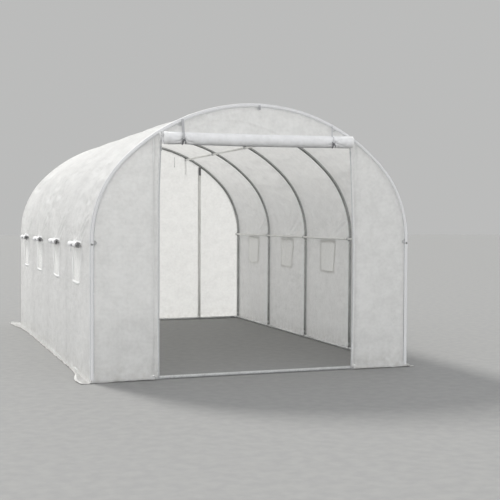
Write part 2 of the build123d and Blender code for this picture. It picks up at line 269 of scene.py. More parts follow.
def ribbon(heap, path, across, half_width, thickness, facing):
    """A flat strap along a path, rounded a little at its edges: across and facing are one direction or many."""
    path, across, facing = (np.asarray(a, float) for a in (path, across, facing))
    half = np.broadcast_to(half_width, len(path))[:, None]
    place = np.linspace(-1, 1, 5)
    crown = thickness / 2 * np.sqrt(np.maximum(1 - place**4, 0.15))
    section = [*zip(place, crown), *zip(place[::-1], -crown[::-1])]
    points = np.stack([path + a * half * across + b * facing for a, b in section], 1)
    flat = stack(*grid_of(travelled(path), [a * half.max() for a, _ in section]))
    return heap.add(points, tube_faces(len(path), len(section)), flat)


class Shade:
    """Short calls that build one material's nodes, or the world's."""

    def __init__(self, owner, kind="Material"):
        owner.use_nodes = True
        self.owner, self.tree = owner, owner.node_tree
        self.tree.nodes.clear()
        self.output = self.tree.nodes.new("ShaderNodeOutput" + kind)

    def add(self, kind, inputs=(), output=0, **settings):
        """A node's output, with the node's settings, and its inputs by name or number."""
        node = self.tree.nodes.new("ShaderNode" + kind)
        for key, value in settings.items():
            setattr(node, key, value)
        for key, value in dict(inputs).items():
            if isinstance(value, bpy.types.NodeSocket):
                self.tree.links.new(value, node.inputs[key])
            elif value is not None:
                node.inputs[key].default_value = value
        return node.outputs[output]

    def done(self, surface):
        self.tree.links.new(surface, self.output.inputs["Surface"])
        return self.owner

    def place(self):
        return self.add("TexCoord", output="Object")

    def flat(self):
        return self.add("UVMap", uv_map="flat")

    def math(self, operation, *values):
        return self.add("Math", enumerate(values), operation=operation)

    def total(self, first, *rest):
        """The sum of values, each with its weight."""
        value = self.math("MULTIPLY", *first)
        return self.math("ADD", value, self.total(*rest)) if rest else value

    def noise(self, vector, scale, detail=3.0, stretch=(1, 1, 1)):
        spot = self.add("Mapping", {"Vector": vector, "Scale": stretch})
        return self.add("TexNoise", {"Vector": spot, "Scale": scale, "Detail": detail}, "Fac")

    def level(self, value, low, high, out_low, out_high):
        return self.add("MapRange", {"Value": value, "From Min": low, "From Max": high,
                                     "To Min": out_low, "To Max": out_high})

    def blend(self, share, first, second):
        ends = [(*end, 1.0) if isinstance(end, tuple) else end for end in (first, second)]
        return self.add("Mix", {0: share, 6: ends[0], 7: ends[1]}, 2, data_type="RGBA")

    def bump(self, height, distance, strength, normal=None):
        return self.add("Bump", {"Strength": strength, "Distance": distance, "Height": height, "Normal": normal})

    def stripes(self, axis, pitch, share):
        """1 on a thread and 0 between threads, with soft edges, across one flat axis."""
        coordinate = self.add("SeparateXYZ", {0: self.flat()}, axis)
        share_of = self.math("FRACT", self.math("DIVIDE", coordinate, pitch))
        phase = self.math("ABSOLUTE", self.math("SUBTRACT", share_of, 0.5))
        return self.level(phase, share / 2, share / 2 + 0.08, 1.0, 0.0)

    def threads(self, pitch, share):
        """1 on the threads of a square grid."""
        return self.math("MAXIMUM", *(self.stripes(axis, pitch, share) for axis in (0, 1)))

    def principled(self, colour, roughness, normal=None, metallic=0.0, specular=0.5):
        return self.add("BsdfPrincipled", {"Base Color": colour, "Roughness": roughness, "Metallic": metallic,
                                           "Specular IOR Level": specular, "Normal": normal})

    def mix(self, share, first, second):
        return self.add("MixShader", enumerate((share, first, second)))


def tint(colour, by):
    return tuple(min(1.0, c * by) for c in colour)


def film(name, colour, through, clear, wrinkle):
    """White film with threads laid in it as a grid: it glows with the light behind it and lets a little show."""
    shade = Shade(bpy.data.materials.new(name))
    flat, place = shade.flat(), shade.place()
    threads = shade.threads(0.009, 0.16)
    cloud, mottle, patch = (shade.noise(flat, *size) for size in ((2.6, 4), (38, 3), (11, 5)))
    crumple = shade.noise(flat, 15, 5, (1.0, 0.45, 1.0))
    height = shade.add("SeparateXYZ", {0: place}, 2)
    soil = shade.math("MULTIPLY", shade.level(height, 0.0, 0.16, 1.0, 0.0),
                      shade.level(shade.noise(place, 24, 4), 0.35, 0.75, 0.0, 1.0))
    uneven = shade.total((cloud, 0.22), (patch, 0.40), (mottle, 0.38))
    paint = shade.blend(shade.level(uneven, 0.40, 0.58, 0.0, 1.0), tint(colour, 0.90), colour)
    paint = shade.blend(shade.math("MULTIPLY", threads, 0.35), paint, tint(colour, 1.06))
    paint = shade.blend(shade.math("MULTIPLY", soil, 0.35), paint, (0.48, 0.45, 0.39))
    normal = shade.bump(shade.total((threads, 0.25), (mottle, 0.60)), 0.0030, 0.6)
    normal = shade.bump(crumple, 0.012 * wrinkle, 0.5, normal)
    body = shade.principled(paint, shade.level(mottle, 0.3, 0.7, 0.36, 0.52), normal, specular=0.45)
    glow = shade.add("BsdfTranslucent", {"Color": paint, "Normal": normal})
    share = shade.level(shade.total((threads, 0.25), (uneven, 1.0)), 0.35, 0.9, through * 1.12, through * 0.80)
    surface = shade.mix(share, body, glow)
    if clear:
        gap = shade.level(threads, 0, 1, clear, clear * 0.4)
        surface = shade.mix(gap, surface, shade.add("BsdfTransparent"))
    return shade.done(surface)


def steel(name, colour, metallic, low, high, spangle=0.5):
    """Tube steel with a dull, slightly patchy skin and fine scratches along it."""
    shade = Shade(bpy.data.materials.new(name))
    place = shade.place()
    flecks = shade.add("TexVoronoi", {"Vector": place, "Scale": 210}, "Color")
    patch = shade.noise(place, 9, 4)
    scratch = shade.noise(shade.flat(), 60, 3, (0.06, 6, 1))
    mixed = shade.total((shade.add("SeparateColor", {0: flecks}), spangle), (patch, 1.0))
    paint = shade.blend(shade.level(mixed, 0.4, 1.0, 0.0, 1.0), tint(colour, 0.80), tint(colour, 1.12))
    normal = shade.bump(shade.total((scratch, 1.0), (patch, 0.5)), 0.0004, 0.4)
    return shade.done(shade.principled(paint, shade.level(mixed, 0.3, 1.1, low, high), normal, metallic))


def webbing(name, colour):
    """Woven tape: ribs across it, softer at the edges."""
    shade = Shade(bpy.data.materials.new(name))
    weave = shade.total((shade.stripes(0, 0.0022, 0.5), 0.6), (shade.stripes(1, 0.0030, 0.55), 0.4))
    paint = shade.blend(weave, tint(colour, 0.72), colour)
    roughness = shade.level(shade.noise(shade.place(), 80), 0.3, 0.7, 0.7, 0.9)
    return shade.done(shade.principled(paint, roughness, shade.bump(weave, 0.0006, 0.7), specular=0.3))


def net(name, colour):
    """A fine insect net: square meshes between thin threads."""
    shade = Shade(bpy.data.materials.new(name))
    threads = shade.threads(0.0022, 0.58)
    paint = shade.blend(shade.noise(shade.place(), 30), tint(colour, 0.9), colour)
    body = shade.principled(paint, 0.6, shade.bump(threads, 0.0006, 0.6), specular=0.3)
    thread = shade.mix(0.3, body, shade.add("BsdfTranslucent", {"Color": paint}))
    return shade.done(shade.mix(threads, shade.add("BsdfTransparent"), thread))


COVER_FILM = film("cover_film", (0.985, 0.983, 0.972), 0.54, 0.04, 1.9)
GABLE_FILM = film("gable_film", (0.99, 0.99, 0.98), 0.60, 0.05, 1.6)
FRONT_FILM = film("front_film", (0.99, 0.99, 0.98), 0.57, 0.09, 1.6)
ROLLED_FILM = film("rolled_film", (0.975, 0.975, 0.98), 0.14, 0.0, 1.6)
HEM_FILM = film("hem_film", (0.96, 0.96, 0.95), 0.30, 0.0, 0.6)
BRIGHT_HEM = film("bright_hem", (0.99, 0.99, 0.985), 0.10, 0.0, 0.5)
SLEEVE_FILM = film("sleeve_film", (0.94, 0.94, 0.94), 0.2, 0.0, 0.5)
NET = net("window_net", (0.97, 0.97, 0.95))
HOOP_STEEL = steel("hoop_steel", (0.45, 0.46, 0.455), 0.92, 0.14, 0.26)
BASE_STEEL = steel("base_steel", (0.66, 0.67, 0.67), 0.5, 0.34, 0.5)
CLIP_STEEL = steel("clip_steel", (0.56, 0.57, 0.58), 0.5, 0.34, 0.52)
ZIP_STEEL = steel("zip_teeth", (0.66, 0.67, 0.68), 0.2, 0.4, 0.6, 0.1)
RAIL_PAINT = steel("rail_paint", (0.96, 0.96, 0.93), 0.0, 0.34, 0.5, 0.05)
TAPE = webbing("tie_tape", (0.56, 0.56, 0.575))
# Dark tape for the rear posts' wraps, and as painted shade on the door straps' knots.
DARK_AND_SHADE_TAPE = webbing("dark_and_shade_tape", (0.20, 0.20, 0.21))
# Light grey tape, painted greyer for the hoop's shade under the front sleeve's film.
SHADED_EDGE_TAPE = webbing("shaded_edge_tape", (0.89, 0.89, 0.895))
# Grey tape for seams, painted darker as shade: the line under the door's roll and the front sleeve's seam.
SEAM_AND_SHADE_TAPE = webbing("seam_and_shade_tape", (0.42, 0.43, 0.46))
WHITE_TAPE = webbing("window_tape", (0.94, 0.94, 0.93))
PALE_TAPE = webbing("pale_tape", (0.72, 0.72, 0.74))
ZIP_TAPE = webbing("zip_tape", (0.72, 0.72, 0.725))
REAR_TAPE = film("rear_tape", (0.97, 0.97, 0.965), 0.65, 0.0, 0.5)


def crease(u, v, start, end, width):
    """1 along the line between two points of a sheet, fading to its sides and its ends."""
    start, end = np.array(start), np.array(end)
    run = end - start
    length = np.hypot(*run)
    share = ((u - start[0]) * run[0] + (v - start[1]) * run[1]) / length**2
    away = ((u - start[0]) * run[1] - (v - start[1]) * run[0]) / length
    return bell(away / width) * smooth(np.minimum(share, 1 - share) / 0.3)


def window_creases(y, reach):
    """Tension folds that run from both ends of each rolled flap up to the hoops and down beside the window."""
    folds = np.zeros(np.broadcast(y, reach).shape)
    for k, centre in enumerate(WINDOWS):
        front, rear = centre - FLAP_HALF, centre + FLAP_HALF
        lean = 0.03 * math.sin(2.3 * k + 1)
        for depth, start, end, width in (
                (0.0120, (front + 0.10, 0.972), (front - 0.32, 1.17 + lean / 2), 0.013),
                (0.0095, (front + 0.16, 0.980), (front - 0.25, 1.23 - lean / 2), 0.013),
                (0.0060, (front + 0.03, 0.965), (front - 0.22, 1.07), 0.012),
                (0.0055, (front + 0.20, 0.98), (front - 0.06, 1.33 + lean), 0.015),
                (0.0060, (rear, 0.97), (rear + 0.16, 1.22 - lean), 0.014),
                (0.0045, (front, 0.94), (front - 0.12, 0.52 + lean), 0.013),
                (0.0038, (rear - 0.02, 0.93), (rear + 0.09, 0.58), 0.014)):
            folds += depth * crease(y, reach, start, end, width)
    return folds


def cover_depth(along, y):
    """How far the cover lies inside its drawn outer face, from sag, wrinkles and folds."""
    reach = np.minimum(along, ARCH - along)
    side = np.where(along < ARCH / 2, 0.0, 21.0)
    bay = 1 - np.abs(2 * (((y - HOOPS[0]) / BAY) % 1) - 1)
    free = smooth(bay / 0.16)
    crown = smooth((reach - LEG) / 1.2)
    low = 1 - smooth((reach - 0.95) / 0.75)
    depth = (WALL_SAG + (ROOF_SAG - WALL_SAG) * crown) * np.sin(bay * math.pi / 2)**1.2
    depth += free * low * 0.0022 * noise(y / 0.050 + side, reach / 0.60, 11)
    depth += free * low * 0.0030 * noise(y / 0.120 + side, reach / 0.95 + side, 12)
    pleat = 1 - np.abs(noise(y / 0.150 + side, reach / 1.3, 13))
    depth -= free * low * 0.0040 * pleat**7
    band = smooth((reach - 1.05) / 0.25) * (1 - smooth((reach - 1.75) / 0.35))
    patch = smooth(noise(y / 0.55 + side, reach / 0.40, 14) * 1.6 + 0.35)
    crumple = noise(y / 0.26 + side, reach / 0.060 - y / 0.60, 15) + 0.5 * noise(y / 0.12, reach / 0.045 - y / 0.5, 16)
    depth += free * band * patch * 0.0105 * crumple
    depth += free * crown * 0.0036 * noise(y / 0.17, reach / 0.22 + side, 17)
    depth += free * crown * 0.0042 * noise(y / 0.45 + side, reach / 0.075, 18)
    depth -= free * window_creases(y, reach)
    for fold in (1.0, 1.62, 2.24):
        depth -= 0.0010 * bell((reach - fold) / 0.006)
    return depth


def window_shift(along, y):
    """How far the sheet is pulled out of square round each window, along the tunnel and up it."""
    reach = np.minimum(along, ARCH - along)
    left = along < ARCH / 2
    shift_y = np.zeros(np.broadcast(along, y).shape)
    shift_s = np.zeros_like(shift_y)
    pulls = zip(WINDOWS, (0.100, 0.060, 0.080, 0.035), (0.030, -0.004, 0.006, 0.0))
    for k, (centre, front, rear) in enumerate(pulls):
        p, q = (y - centre) / WINDOW_HALF, (reach - (WINDOW_SILL + WINDOW_TOP) / 2) / 0.13
        near = 1 - smooth((np.maximum(np.abs(p), np.abs(q)) - 1) / 1.5)
        low = smooth((1 - q) / 2)
        place = np.clip((1 - p) / 2, 0, 1)
        shift_y += near * low * (front * place + rear * (1 - place))
        shift_s += near * low * (0.002 * math.sin(1.3 * k) * p - 0.004 * (1 - np.minimum(p * p, 1)))
    return np.where(left, 1.0, 0.5) * shift_y, np.where(left, 1, -1) * shift_s


def cover_point(along, y, lift=0.0):
    """Points of the cover, or of something lift metres outside it."""
    shift_y, shift_s = window_shift(along, y)
    x, z, out_x, out_z = arch_points(along + shift_s)
    depth = cover_depth(along, y) - lift
    return stack(x - out_x * depth, y + shift_y, z - out_z * depth)


def cover():
    """The one long sheet that goes up one side, over the hoops and down the other, with its windows cut out."""
    half = [FOOT, WINDOW_SILL, WINDOW_TOP, 1.38, SHOULDER_END]
    along = stations(half + [ARCH - s for s in half[::-1]],
                     [0.030, 0.024, 0.011, 0.020, 0.034, 0.020, 0.011, 0.024, 0.030])
    stops = [HOOPS[0]]
    for centre, hoop in zip(WINDOWS, HOOPS[1:]):
        stops += [centre - WINDOW_HALF, centre + WINDOW_HALF, hoop]
    s, y = grid_of(along, stations(stops, [0.0125] * (len(stops) - 1)))
    middle_s, middle_y = ((v[1:, 1:] + v[:-1, :-1]) / 2 for v in (s, y))
    reach = np.minimum(middle_s, ARCH - middle_s)
    keep = (reach < WINDOW_SILL) | (reach > WINDOW_TOP)
    keep |= np.min([np.abs(middle_y - c) for c in WINDOWS], axis=0) > WINDOW_HALF
    piece = Heap().grid(cover_point(s, y), s, y, keep).piece(
        "cover_sheet", COVER_FILM, "cover_film", "left_wall", "right_wall", "left_shoulder", "right_shoulder",
        "roof_left", "roof_top", "roof_right")


def up_side(side, reach):
    """Metres along the arch at a reach from one side's foot."""
    return reach if side < 0 else ARCH - reach


def hem_strip(heap, along, y, lift):
    """A sewn band on the cover: along and y hold its two edges, each as a row of places."""
    share = np.linspace(0, 1, 3)[:, None]
    s, place = (v[0] * (1 - share) + v[1] * share for v in (along, y))
    outer = cover_point(s, place, lift + 0.0005 * np.sin(share * math.pi))
    s, place = (np.concatenate([v, v[[-1, 0]]]) for v in (s, place))
    rim = cover_point(s[3:], place[3:], 0.0002)
    count = s.shape[1]
    run = np.arange(count - 1)
    closing = stack(run + 4 * count, run + 1 + 4 * count, run + 1, run)
    heap.add(np.concatenate([outer, rim]), np.concatenate([grid_faces(5, count), closing]), stack(s, place))


def window_hems():
    """Bands sewn round each window, the bottom one the thickest."""
    for side, word in SIDES:
        heap = Heap()
        for centre in WINDOWS:
            run = np.linspace(centre - WINDOW_HALF - HEM_BAND, centre + WINDOW_HALF + HEM_BAND, 26)
            rise = np.linspace(WINDOW_SILL, WINDOW_TOP, 18)
            for low, high, lift in ((WINDOW_SILL - 0.019, WINDOW_SILL + 0.002, 0.0014),
                                    (WINDOW_TOP - 0.002, WINDOW_TOP + 0.018, 0.0006)):
                hem_strip(heap, [up_side(side, np.full(26, s)) for s in (low, high)], (run, run), lift)
            for edge in (-1, 1):
                places = [np.full(18, centre + edge * (WINDOW_HALF + out)) for out in (-0.003, HEM_BAND)]
                hem_strip(heap, [up_side(side, rise)] * 2, places, 0.0006)
        heap.piece(f"{word}_window_hems", BRIGHT_HEM, "skirt_film")


def window_nets():
    """A slightly slack net behind each window."""
    for side, word in SIDES:
        for number, centre in enumerate(WINDOWS, start=1):
            rise = np.linspace(WINDOW_SILL - NET_HEM, WINDOW_TOP + NET_HEM, 20)
            run = np.linspace(centre - WINDOW_HALF - NET_HEM, centre + WINDOW_HALF + NET_HEM, 24)
            s, y = grid_of(rise, run)
            slack = np.cos((s - 0.81) / 0.30 * math.pi) * np.cos((y - centre) / (2 * WINDOW_HALF + 0.04) * math.pi)
            slack = 0.0025 * slack + 0.0010 * noise(y / 0.05, s / 0.2, 40 + number)
            points = cover_point(up_side(side, s), y, -0.0009 - np.maximum(slack, 0))
            piece = Heap().grid(points, s, y).piece(f"{word}_window_net_{number}", NET, "window_net",
                                                    f"{word}_window_nets")


def roll_shape(run, turn, ties, spread, depth, seed):
    """How much of its radius a rolled flap keeps, at places along it and round it, near its ties."""
    keep = 1 + 0.012 * noise(run / 0.16, turn / 1.6, seed) + 0.007 * noise(run / 0.06, turn / 0.7, seed + 1)
    for k, tie in enumerate(ties):
        away = (run - tie) / spread
        waist = bell(away)
        pleats = np.cos(9 * turn + 1.3 * k + 2.0 * away) + 0.5 * np.cos(5 * turn - 1.5 * away + k)
        keep = keep - depth * waist * (1 + 0.16 * pleats)
        keep = keep - 0.030 * bell(away / 2.2) * (1 - waist) * np.maximum(pleats, 0)
    return keep


def door_roll_shape(run, turn):
    """The same for the door's roll, whose front is a little flat."""
    flat = ROLL_FLAT * np.maximum(-np.cos(turn), 0)**3
    return roll_shape(run, turn, (-DOOR_TIE, DOOR_TIE), *DOOR_PINCH, 60) - flat


def tie_folds(run, turn):
    """Sharp folds that run out from each knot over the door roll's front, as shares of its radius."""
    folds = np.zeros(np.broadcast(run, turn).shape)
    for tie in (-DOOR_TIE, DOOR_TIE):
        for out, first, last, depth, width in ((-0.085, 3.45, 4.05, 0.19, 0.11), (0.088, 3.50, 4.15, 0.19, 0.11),
                                               (-0.040, 3.40, 2.80, 0.12, 0.10), (0.050, 3.35, 2.60, 0.14, 0.10),
                                               (0.030, 3.50, 4.60, 0.10, 0.11), (-0.030, 3.55, 4.70, 0.09, 0.11),
                                               (-0.028, 3.20, 2.10, 0.07, 0.12), (0.022, 3.20, 2.00, 0.07, 0.12)):
            start = (-out * 0.35 / 0.045, first - 0.25 * (last - first))
            folds += depth * crease((run - tie) / 0.045, turn % TURN, start, (out / 0.045, last), width)
    return folds


def rolled_flap(name, node, middle, along, back, flat, outer, tail, seed=0, big=False):
    """A flap rolled up outwards: it comes down its tail at the back, passes below and winds to the middle."""
    middle, along, back = (np.array(v, float) for v in (middle, along, back))
    width, length = flat
    inner = 0.017 if big else 0.0045
    turns = (length - tail) / (math.pi * (outer + inner)) if big else 3.3
    wound = stations([0, 1.05 * TURN, turns * TURN], [0.09 if big else 0.16, 0.30])
    if big:
        stops = [-width / 2, -DOOR_TIE - 0.10, -DOOR_TIE + 0.10, DOOR_TIE - 0.10, DOOR_TIE + 0.10, width / 2]
        run, turn = grid_of(stations(stops, [0.012, 0.004, 0.012, 0.004, 0.012]), -wound)
        radius, core = outer - (outer - inner) * wound / wound[-1], 0
        keep = door_roll_shape(run, turn) - tie_folds(run, turn)
        sag = -ROLL_FALL * (0.5 - run / width) - ROLL_SAG * np.cos(run / width * math.pi)
    else:
        run, turn = grid_of(stations([-width / 2, width / 2], [0.008]), -wound)
        radius = np.interp(wound / TURN, [0, 1.0, 1.3, turns], [outer, outer - 0.0014, 0.0125, inner])
        core = 0.010 * smooth((wound / TURN - 1.0) / 0.35)
        keep, sag = roll_shape(run, turn, (0.0,), 0.036, 0.34, seed), 0
    reach = radius * keep
    up = np.array([0, 0, 1.0])
    points = (middle + (run - core)[..., None] * along + (reach * np.cos(turn))[..., None] * back
              + (reach * np.sin(turn) + sag)[..., None] * up)
    climb = np.linspace(tail, 0, 6)[:-1, None]
    lap = points[:, :1] + climb * up + (outer - reach[:, :1, None]) * back * smooth(climb / tail)
    points = np.concatenate([lap, points], 1)
    piece = Heap().grid(points, run[:, :1], travelled(points[0])).piece(name, ROLLED_FILM, "rolled_film", node)


def knot(heap, centre, size, seed):
    """A small overhand knot in tape, as one closed loop drawn tight."""
    turn = np.linspace(0, TURN, 49)
    twist = Matrix.Rotation(seed, 3, "Y") @ Matrix.Rotation(0.7 * seed, 3, "X")
    path = stack(np.sin(turn) + 2 * np.sin(2 * turn), -np.sin(3 * turn) * 1.3, np.cos(turn) - 2 * np.cos(2 * turn))
    path = path * size / 3 @ np.array(twist).T + np.array(centre)
    sweep(heap, path, size * 0.34, 8, (0.3, 1, 0.2), 0.62, capped=False)


def tail_path(start, way, length, droop, wave):
    """A loose end of tape: it leaves along way and falls."""
    share = np.linspace(0, 1, 12)[:, None]
    start, way = np.array(start, float), np.array(way, float)
    fall = np.array([0, 0, -1.0])
    swing = np.array([0.6, 0.3, 0]) * wave * np.sin(share * 4)
    return start + way * length * (share - droop * share**2) + fall * length * droop * share**1.5 + swing


def round_roll(x, y, z, reach, turn):
    """Places at a reach from an axis along X, turned up from its rear."""
    return stack(x, y + reach * np.cos(turn), z + reach * np.sin(turn))


def front_door():
    """The front door, rolled up over the doorway, with its two straps, knots and edge hems."""
    low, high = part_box("front_door_roll")
    middle = (low + high) / 2
    half = (high.x - low.x) / 2
    outer = (high.z - low.z) / 2 - 0.0005
    rolled_flap("front_door_flap", "front_door_roll", middle, (1, 0, 0), (0, 1, 0), (2 * half, DOOR_FILM), outer,
                0.05, big=True)
    hems = Heap()
    for edge, wide in ((-1, 0.026), (1, 0.019)):
        run, turn = grid_of(np.linspace(edge * (half + 0.001), edge * (half - wide), 4), np.linspace(-TURN, 0.0, 60))
        height = middle.z - ROLL_FALL * (0.5 - run / (2 * half))
        reach = (outer + 0.0009) * door_roll_shape(run, turn)
        hems.grid(round_roll(middle.x + run, middle.y, height, reach, turn), run, turn * outer)
        turn, inward = grid_of(turn[0], np.linspace(0, 1, 9))
        reach = outer * 0.985 * (1 - 0.72 * inward) * (1 + 0.03 * np.sin(7 * turn + 9 * inward))
        dish = edge * (half - 0.001 - 0.007 * smooth(inward) - 0.002 * np.sin(5 * turn + 14 * inward) * inward)
        height = middle.z - ROLL_FALL * (0.5 - edge * 0.5)
        hems.grid(round_roll(middle.x + dish, middle.y, height, reach, turn), inward * outer, turn * outer)
    hems.piece("front_door_flap_hems", BRIGHT_HEM, "rolled_film")
    run = np.linspace(-half + 0.03, half - 0.03, 150)
    turn = 1.5 * math.pi - 0.10 + 0.05 * noise(run / 0.12, 0.3, 64)
    reach = (outer + 0.0006) * door_roll_shape(run, turn) * (1 - 0.02 * (np.abs(np.abs(run) - DOOR_TIE) < 0.06))
    height = middle.z - ROLL_FALL * (0.5 - run / (2 * half)) - ROLL_SAG * np.cos(run / (2 * half) * math.pi)
    line = round_roll(middle.x + run, middle.y, height, reach, turn)
    # The flap's free hem under the roll, in grey tape: painted shade along the roll's underside.
    ribbon(Heap(), line, stack(0, -np.sin(turn), np.cos(turn)), 0.0042, 0.0016, stack(0, np.cos(turn), np.sin(turn))
           ).piece("front_door_flap_hem_shade_line", SEAM_AND_SHADE_TAPE, "tie_webbing")
    for word, places, half_width, material, seed in (("left", (-0.584, -0.573, -0.602), 0.0092, TAPE, 3.0),
                                                     ("right", (0.590, 0.591, 0.563), 0.0050, PALE_TAPE, 4.0)):
        strap_with_knot(f"front_door_{word}_tie", places, middle, outer, half_width, material, seed)


def strap_with_knot(name, places, middle, outer, half_width, material, seed):
    """A strap from the hoop's sleeve over the roll's front to a knot, and on round below, with its loose ends."""
    strap, shaded_knot, painted_highlight = Heap(), Heap(), Heap()
    top_x, bend_x, knot_x = places
    middle = middle - Vector((0, 0, ROLL_FALL * (0.5 - knot_x / STRAP_SPAN) + 0.002))
    low_turn = 1.15 * math.pi
    top = CROWN_Z + math.sqrt((CROWN_R - 0.002)**2 - top_x * top_x) - 0.010
    waist = outer * 0.915 + 0.0015
    drop = np.linspace(top, middle.z + waist * 0.75, 14)
    share = (top - drop) / (top - middle.z)
    upper = stack(top_x + (bend_x - top_x) * share, -HALF_LENGTH - 0.0022 - 0.004 * share**2, drop)
    ribbon(strap, upper, (1, 0, 0), half_width, 0.0015, (0, -1, 0))
    turn = np.linspace(0.72 * math.pi - 0.45, 2.5 * math.pi, 60)
    from_knot = np.abs(turn - low_turn)
    reach = waist + 0.002 * bell(from_knot / 0.5)
    loop_x = knot_x + (bend_x - knot_x) * 0.30 * smooth((from_knot - 0.3) / 1.2)
    narrow = np.where(turn < low_turn, smooth(from_knot / 0.75), 0.25 + 0.3 * smooth(from_knot))
    ribbon(strap, round_roll(loop_x, middle.y, middle.z, reach, turn), (1, 0, 0),
           half_width * np.maximum(narrow, 0.40), 0.0015, stack(0, np.cos(turn), np.sin(turn)))
    front = middle.y + waist * math.cos(low_turn) - 0.004
    place = (knot_x + 0.004, front, middle.z + waist * math.sin(low_turn))
    # The knot and two of its loose ends are dark tape: painted shade in and under the knot.
    knot(shaded_knot, place, 0.0100, seed)
    for way, length in (((-0.60, -0.15, 0.75), 0.034), ((0.45, -0.15, 0.95), 0.042)):
        ribbon(shaded_knot, tail_path(place, way, length, 0.15, 0.001), (0.6, 0.1, 0.6), 0.0026, 0.0013, (0.1, -1, 0))
    # One loose end is white tape: a painted highlight on the knot.
    share = np.linspace(0, 1, 16)
    for heap, sideways, length, half_tail in ((painted_highlight, 0.006, 0.024, 0.0034), (shaded_knot, -0.006, 0.030, 0.0042),
                                              (shaded_knot, 0.014, 0.022, 0.0030)):
        fall = stack(place[0] + sideways * (0.3 + np.sin(share * 1.5)), front - 0.003 + 0.016 * share**2,
                     place[2] - length * share)
        ribbon(heap, fall, (1, 0, 0), half_tail, 0.0012, (0, -1, 0))
    strap.piece(name, material, "tie_webbing", "front_door_ties")
    shaded_knot.piece(f"{name}_knot", DARK_AND_SHADE_TAPE, "tie_webbing")
    painted_highlight.piece(f"{name}_ends", WHITE_TAPE, "tie_webbing")


def window_flaps():
    """The rolled flap over each window, drawn in by one tape."""
    for side, word in SIDES:
        low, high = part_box(f"{word}_window_rolls")
        x, z = (low.x + high.x) / 2, (low.z + high.z) / 2
        outer = (high.z - low.z) / 2 - 0.0004
        ties, knots = Heap(), Heap()
        for number, centre in enumerate(WINDOWS, start=1):
            rolled_flap(f"{word}_window_flap_{number}", f"{word}_window_rolls", (x, centre, z), (0, 1, 0),
                        (-side, 0, 0), (2 * FLAP_HALF, FLAP_FILM), outer, 0.030, 70 + 3 * number + side)
            window_tie(ties, knots, side, x, centre, z, outer * 0.66, number)
        ties.piece(f"{word}_window_ties", WHITE_TAPE, "tie_webbing")
        knots.piece(f"{word}_window_knots", TAPE, "tie_webbing")


def window_tie(heap, knots, side, x, y, z, waist, number):
    """A tape round the flap's waist, sewn in above it, with a knot and two loose ends below."""
    turn = np.linspace(0, TURN, 33)
    reach = waist + 0.0012
    loop = stack(x + reach * np.cos(turn), y + 0.002 * np.sin(2 * turn), z + reach * np.sin(turn))
    ribbon(heap, loop, (0, 1, 0), 0.007, 0.0012, stack(np.cos(turn), 0, np.sin(turn)))
    share = np.linspace(0, 1, 10)
    wall = side * (HALF_WIDTH + 0.001)
    strap = stack(wall + (x + side * 0.3 * reach - wall) * smooth(share), y + 0.004 * share,
                  z + 0.052 - (0.052 - reach) * share)
    ribbon(heap, strap, (0, 1, 0), 0.007, 0.0012, (side * 0.7, 0, 0.7))
    place = (x + side * (reach + 0.003), y + 0.002, z - 0.2 * reach)
    knot(knots, place, 0.0085, 1.1 * number)
    for way, length in (((side * 0.15, -0.25, -0.6), 0.055), ((side * 0.15, 0.22, -0.6), 0.048)):
        path = tail_path(place, way, length + 0.004 * math.sin(number), 0.7, 0.002)
        ribbon(knots, path, (0, 1, 0), 0.0050, 0.0011, (side, 0, 0.1))


def hoops():
    """Five round-tube hoops, each with necked joints and screws at them."""
    joints = [FITTING_ARM + HOOP_R, JOINT_Z, ARCH / 2]
    stops = [0.004, LEG, SHOULDER_END]
    for joint in joints:
        stops += [joint - 0.0005, joint, joint + 0.004, joint + 0.011]
    stops = sorted(set(stops[:-2]))
    along = stations(stops, [0.045 if high - low > 0.02 else 0.01 for low, high in zip(stops, stops[1:])])
    along = np.unique(np.concatenate([along, ARCH - along]))
    reach = np.minimum(along, ARCH - along)
    radius = np.full(len(along), HOOP_R)
    for joint in joints:
        radius = np.where((reach - joint >= -1e-6) & (reach - joint < NECK), NECK_R, radius)
    x, z, _, _ = arch_points(along, HOOP_DEPTH)
    for number, y in enumerate(HOOPS, start=1):
        sweep(Heap(), stack(x, y, z), radius, start_up=(0, 1, 0)).piece(
            f"hoop_tubes_{number}", HOOP_STEEL, "hoop_steel", f"hoop_{number}")
        screws = Heap()
        for side, _ in SIDES:
            for height in (JOINT_Z - SCREW_DROP, FITTING_ARM + HOOP_R + SCREW_DROP):
                bolt(screws, (side * LEG_X - side * HOOP_R * 0.97, y, height), (-side, 0, 0))
        for away in (-SCREW_DROP, SCREW_DROP):
            bolt(screws, (away, y, HEIGHT - HOOP_DEPTH - HOOP_R * 0.97), (0, 0, -1))
        screws.piece(f"hoop_screws_{number}", CLIP_STEEL, "clip_steel")


def saddle(heap, screws, rail, out):
    """A pressed saddle under a rail, with two ears and their screws: out points from the rail's axis to the hoop."""
    rail, out = np.array(rail), np.array(out, float)
    across = np.array([out[2], 0, -out[0]])
    bend, wall, ear, rise = RAIL_R + 0.0004, 0.0022, 0.0085, RAIL_R - 0.0012
    edge, low = bend + wall + ear, rise - wall
    inner, outer = ([(r * math.cos(t), -r * math.sin(t)) for t in np.linspace(0, math.pi, 15)]
                    for r in (bend, bend + wall))
    profile = [(edge, rise), (bend + 0.0004, rise), *inner, (-bend - 0.0004, rise), (-edge, rise), (-edge, low),
               (-bend - wall, low), *outer[::-1], (bend + wall, low), (edge, low)]
    count = len(profile)
    ring = np.array([rail + a * across + b * out for a, b in profile])
    faces = [[k, (k + 1) % count, count + (k + 1) % count, count + k] for k in range(count)]
    strip = [[k, k + 1, count - 2 - k, count - 1 - k] for k in range(len(inner) + 2)]
    faces += strip + [[i + count for i in face[::-1]] for face in strip]
    heap.add(np.concatenate([ring + np.array([0, half, 0]) for half in (-0.012, 0.012)]), faces)
    for side, _ in SIDES:
        bolt(screws, rail + side * (bend + wall + ear * 0.45) * across + low * out, -out)


